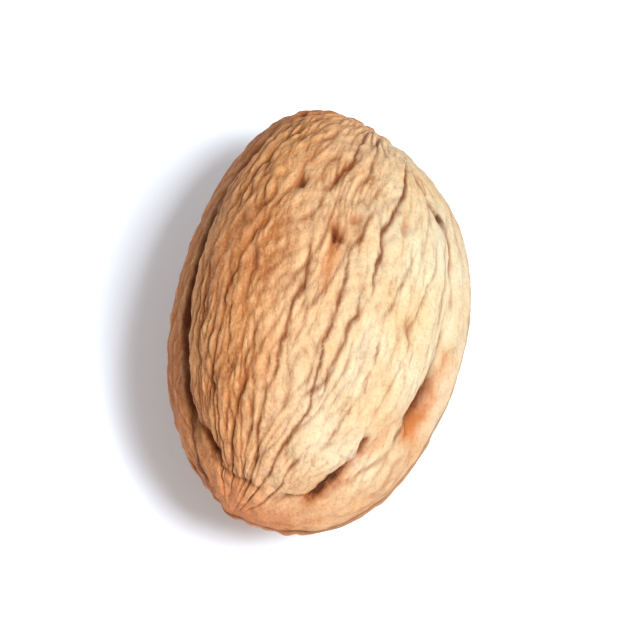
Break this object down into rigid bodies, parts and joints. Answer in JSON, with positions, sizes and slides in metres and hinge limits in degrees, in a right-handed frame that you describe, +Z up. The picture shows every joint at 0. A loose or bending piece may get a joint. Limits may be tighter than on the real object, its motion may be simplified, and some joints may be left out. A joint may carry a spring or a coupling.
{
  "type": "walnut",
  "caption": "Whole walnut in its shell: an elongated ovoid with a raised seam ridge, wavy lengthwise furrows, seam-side pits and a pointed tip, lying on one cheek.",
  "frame": {"origin": "on the surface the nut rests on, under the middle of its bounding box", "axes": "+X along the nut's length towards its tip, +Y across its width in the seam plane, +Z up, away from the cheek it rests on"},
  "size_m": [0.0452, 0.0298, 0.0277],
  "materials": {
    "shell": "dry matt nutshell, tan to cream, with brown furrows and pits"
  },
  "bodies": {
    "root": {"walnut": "shell"}
  },
  "joints": []
}
